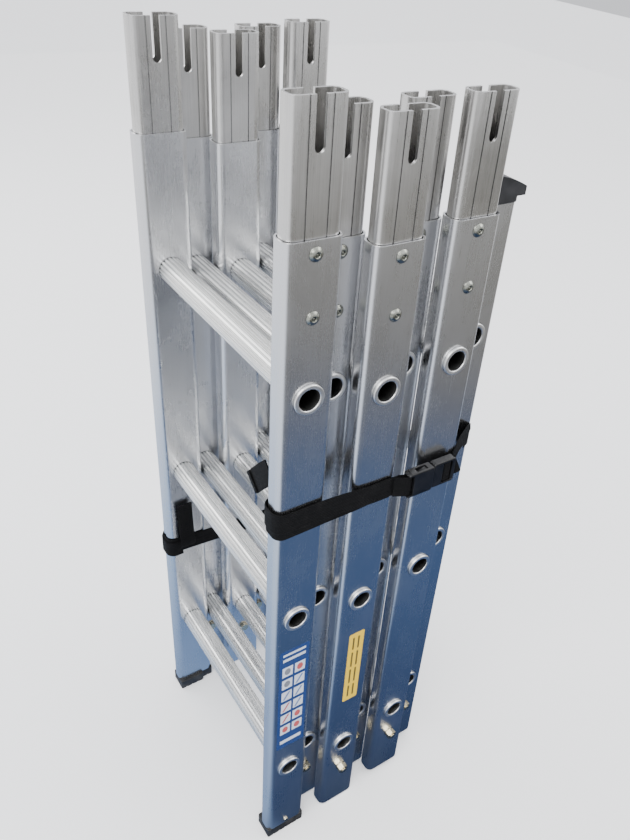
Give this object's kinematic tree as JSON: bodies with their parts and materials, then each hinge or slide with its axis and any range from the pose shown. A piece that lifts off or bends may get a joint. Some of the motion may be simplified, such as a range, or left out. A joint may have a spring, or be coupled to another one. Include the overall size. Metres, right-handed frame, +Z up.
{
  "type": "sectional ladder set",
  "caption": "Aluminium ladder in plug-together sections, nested upright and held by two buckled webbing straps, with rubber feet and end caps.",
  "frame": {"origin": "on the floor, under the middle of the packed bundle", "axes": "+Z up along the stiles, +X to the right along the rungs, +Y from the bottom section at the front to the top section at the back"},
  "size_m": [0.3946, 0.2964, 1.027],
  "materials": {
    "stile": "satin",
    "rung": "satin",
    "spigot": "satin",
    "rivet": "satin",
    "bolt": "zinc plated",
    "screw": "zinc plated",
    "foot": "matte",
    "cap": "matte",
    "webbing": "woven",
    "buckle": "moulded"
  },
  "bodies": {
    "bundle": {"section_1_left_stile": "stile", "section_1_right_stile": "stile", "section_1_rung_1": "rung", "section_1_rung_2": "rung", "section_1_rung_3": "rung", "section_1_spigots": "spigot", "section_1_rivets": "rivet", "left_foot": "foot", "right_foot": "foot", "foot_screws": "screw", "left_strap": "webbing", "left_buckle_socket": "buckle", "left_buckle_clip": "buckle", "right_strap": "webbing", "right_buckle_socket": "buckle", "right_buckle_clip": "buckle"},
    "section_2": {"section_2_left_stile": "stile", "section_2_right_stile": "stile", "section_2_rung_1": "rung", "section_2_rung_2": "rung", "section_2_rung_3": "rung", "section_2_spigots": "spigot", "section_2_rivets": "rivet", "section_2_bolts": "bolt"},
    "section_3": {"section_3_left_stile": "stile", "section_3_right_stile": "stile", "section_3_rung_1": "rung", "section_3_rung_2": "rung", "section_3_rung_3": "rung", "section_3_spigots": "spigot", "section_3_rivets": "rivet", "section_3_bolts": "bolt"},
    "section_4": {"section_4_left_stile": "stile", "section_4_right_stile": "stile", "section_4_rung_1": "rung", "section_4_rung_2": "rung", "section_4_rung_3": "rung", "section_4_spigots": "spigot", "section_4_rivets": "rivet", "section_4_bolts": "bolt"},
    "section_5": {"section_5_left_stile": "stile", "section_5_right_stile": "stile", "section_5_rung_1": "rung", "section_5_rung_2": "rung", "section_5_rung_3": "rung", "section_5_spigots": "spigot", "section_5_rivets": "rivet", "section_5_bolts": "bolt"},
    "section_6": {"section_6_left_stile": "stile", "section_6_right_stile": "stile", "section_6_rung_1": "rung", "section_6_rung_2": "rung", "section_6_rung_3": "rung", "section_6_bolts": "bolt", "left_end_cap": "cap", "right_end_cap": "cap"},
    "left_upper_prong": {"left_buckle_upper_prong": "buckle"},
    "left_lower_prong": {"left_buckle_lower_prong": "buckle"},
    "right_upper_prong": {"right_buckle_upper_prong": "buckle"},
    "right_lower_prong": {"right_buckle_lower_prong": "buckle"}
  },
  "joints": [
    {"name": "section_2_slide", "type": "slide", "parent": "bundle", "child": "section_2", "axis": [0, 0, 1], "range_m": [0, 0.12]},
    {"name": "section_3_slide", "type": "slide", "parent": "bundle", "child": "section_3", "axis": [0, 0, 1], "range_m": [0, 0.12]},
    {"name": "section_4_slide", "type": "slide", "parent": "bundle", "child": "section_4", "axis": [0, 0, 1], "range_m": [0, 0.12]},
    {"name": "section_5_slide", "type": "slide", "parent": "bundle", "child": "section_5", "axis": [0, 0, 1], "range_m": [-0.009, 0.11]},
    {"name": "section_6_slide", "type": "slide", "parent": "bundle", "child": "section_6", "axis": [0, 0, 1], "range_m": [-0.012, 0.108]},
    {"name": "left_upper_prong_flex", "type": "hinge", "parent": "bundle", "child": "left_upper_prong", "pos_m": [-0.19185, 0.047, 0.339], "axis": [1, 0, 0], "range_deg": [0, 8], "stiffness_Nm_per_rad": 1.2},
    {"name": "left_lower_prong_flex", "type": "hinge", "parent": "bundle", "child": "left_lower_prong", "pos_m": [-0.19185, 0.047, 0.319], "axis": [-1, 0, 0], "range_deg": [0, 8], "stiffness_Nm_per_rad": 1.2},
    {"name": "right_upper_prong_flex", "type": "hinge", "parent": "bundle", "child": "right_upper_prong", "pos_m": [0.19185, 0.047, 0.626], "axis": [1, 0, 0], "range_deg": [0, 8], "stiffness_Nm_per_rad": 1.2},
    {"name": "right_lower_prong_flex", "type": "hinge", "parent": "bundle", "child": "right_lower_prong", "pos_m": [0.19185, 0.047, 0.606], "axis": [-1, 0, 0], "range_deg": [0, 8], "stiffness_Nm_per_rad": 1.2}
  ]
}
